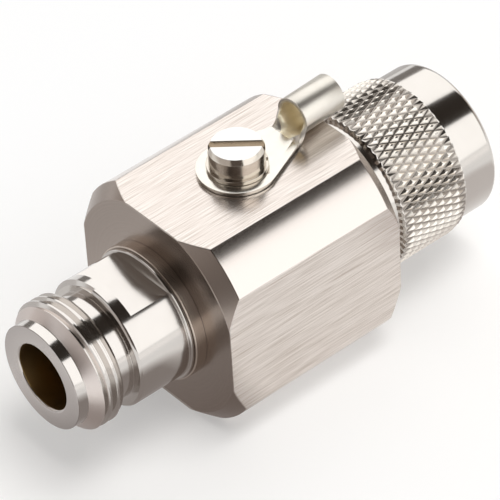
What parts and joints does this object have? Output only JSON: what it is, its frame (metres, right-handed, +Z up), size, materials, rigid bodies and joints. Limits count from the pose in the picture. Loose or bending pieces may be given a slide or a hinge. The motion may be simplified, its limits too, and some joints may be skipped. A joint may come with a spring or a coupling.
{
  "type": "coax lightning arrestor",
  "caption": "In-line coax surge protector: square metal body with a gas tube, threaded jack on one end, knurled coupling nut on the other, ground screw with ring lug on top.",
  "frame": {"origin": "middle of the bottom flat of the body, straight under the ground screw", "axes": "+X along the coax line toward the coupling nut, +Z up through the ground screw, +Y completes the right hand"},
  "size_m": [0.0595, 0.025, 0.0297],
  "materials": {
    "body_nickel": "nickel plated brass, brushed flats, polished corners",
    "turned_nickel": "nickel plated brass, turned bright",
    "nut_nickel": "nickel plated brass, knurled and polished",
    "screw_nickel": "nickel plated brass, bright",
    "tinned_copper": "tinned copper, bright",
    "gold_plate": "gold plated",
    "spring_bronze": "bright bronze",
    "white_insulator": "white fluoropolymer",
    "ceramic": "white glazed ceramic",
    "tube_cap_metal": "tinned",
    "black_rubber": "matt",
    "gasket_rubber": "matt silicone"
  },
  "bodies": {
    "body": {"body_block": "body_nickel", "jack_shell": "turned_nickel", "jack_seal": "black_rubber", "jack_bead": "white_insulator", "jack_socket": "gold_plate", "line_rod": "gold_plate", "plug_pin": "gold_plate", "plug_bead": "white_insulator", "plug_shell": "turned_nickel", "plug_seal": "black_rubber", "nut_ring": "spring_bronze", "face_gasket": "gasket_rubber", "tube_ceramic": "ceramic", "tube_inner_cap": "tube_cap_metal", "tube_outer_cap": "tube_cap_metal"},
    "nut": {"coupling_nut": "nut_nickel"},
    "lug": {"ring_lug": "tinned_copper"},
    "washer": {"lock_washer": "screw_nickel"},
    "screw": {"ground_screw": "screw_nickel"},
    "tube_contact": {"tube_spring": "spring_bronze"},
    "tube_closure": {"tube_plug": "turned_nickel", "tube_plug_seal": "black_rubber"}
  },
  "joints": [
    {"name": "nut_turn", "type": "hinge", "parent": "body", "child": "nut", "pos_m": [0.02, 0, 0.0125], "axis": [1, 0, 0], "continuous": true},
    {"name": "lug_turn", "type": "hinge", "parent": "body", "child": "lug", "pos_m": [0, 0, 0.025], "axis": [0, 0, 1], "continuous": true},
    {"name": "screw_lift", "type": "slide", "parent": "body", "child": "washer", "axis": [0, 0, 1], "range_m": [0, 0.0049]},
    {"name": "screw_turn", "type": "hinge", "parent": "washer", "child": "screw", "pos_m": [0, 0, 0.025], "axis": [0, 0, 1], "range_deg": [0, 2520]},
    {"name": "tube_travel", "type": "slide", "parent": "body", "child": "tube_contact", "axis": [0, 1, 0], "range_m": [0, 0.003]},
    {"name": "tube_plug_turn", "type": "hinge", "parent": "tube_contact", "child": "tube_closure", "pos_m": [0, 0.0125, 0.0125], "axis": [0, 1, 0], "range_deg": [0, 1080]}
  ],
  "couplings": [
    {"joint": "screw_turn", "follows": "screw_lift", "rad_per_m": 8976},
    {"joint": "tube_plug_turn", "follows": "tube_travel", "rad_per_m": 6283.2}
  ]
}
